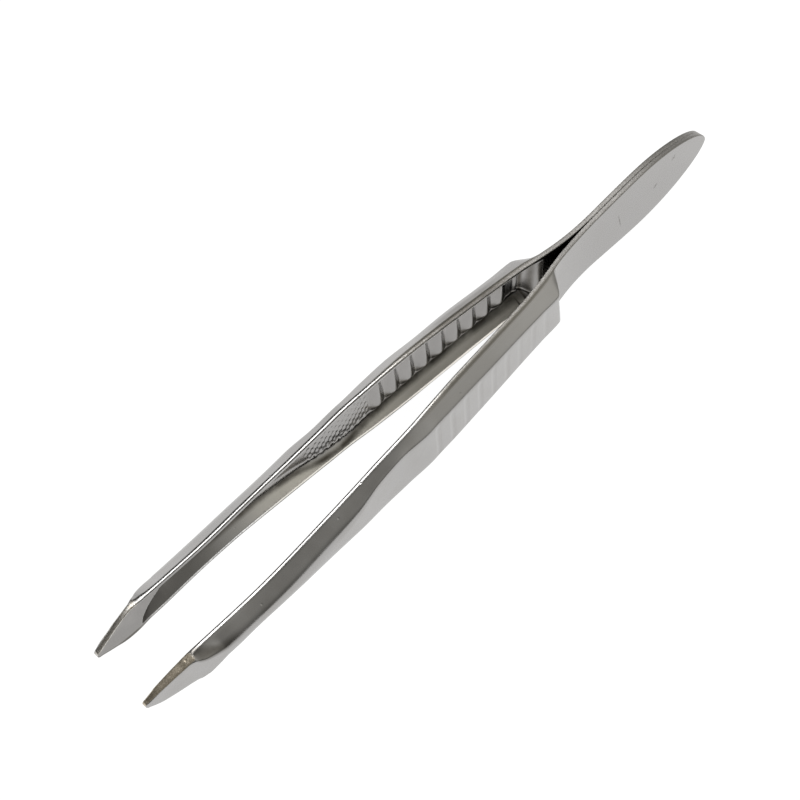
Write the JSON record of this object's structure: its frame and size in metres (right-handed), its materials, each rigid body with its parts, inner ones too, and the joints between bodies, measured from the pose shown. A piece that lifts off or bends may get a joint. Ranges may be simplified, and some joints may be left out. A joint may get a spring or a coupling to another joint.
{
  "type": "tweezers",
  "caption": "Splinter tweezers of stamped plated steel: leaf tail, ribbed channel grips with checkered pads, and pointed tips.",
  "frame": {"origin": "midway along the length, between the legs, on the surface that the side edges rest on", "axes": "+X towards the tips, +Y towards the front leg, across the gap, +Z across the width of the legs"},
  "size_m": [0.1, 0.0128, 0.0094],
  "materials": {
    "plated_steel": "polished nickel plate over stamped steel"
  },
  "bodies": {
    "root": {"front_leg": "plated_steel", "back_leg": "plated_steel"}
  },
  "joints": []
}
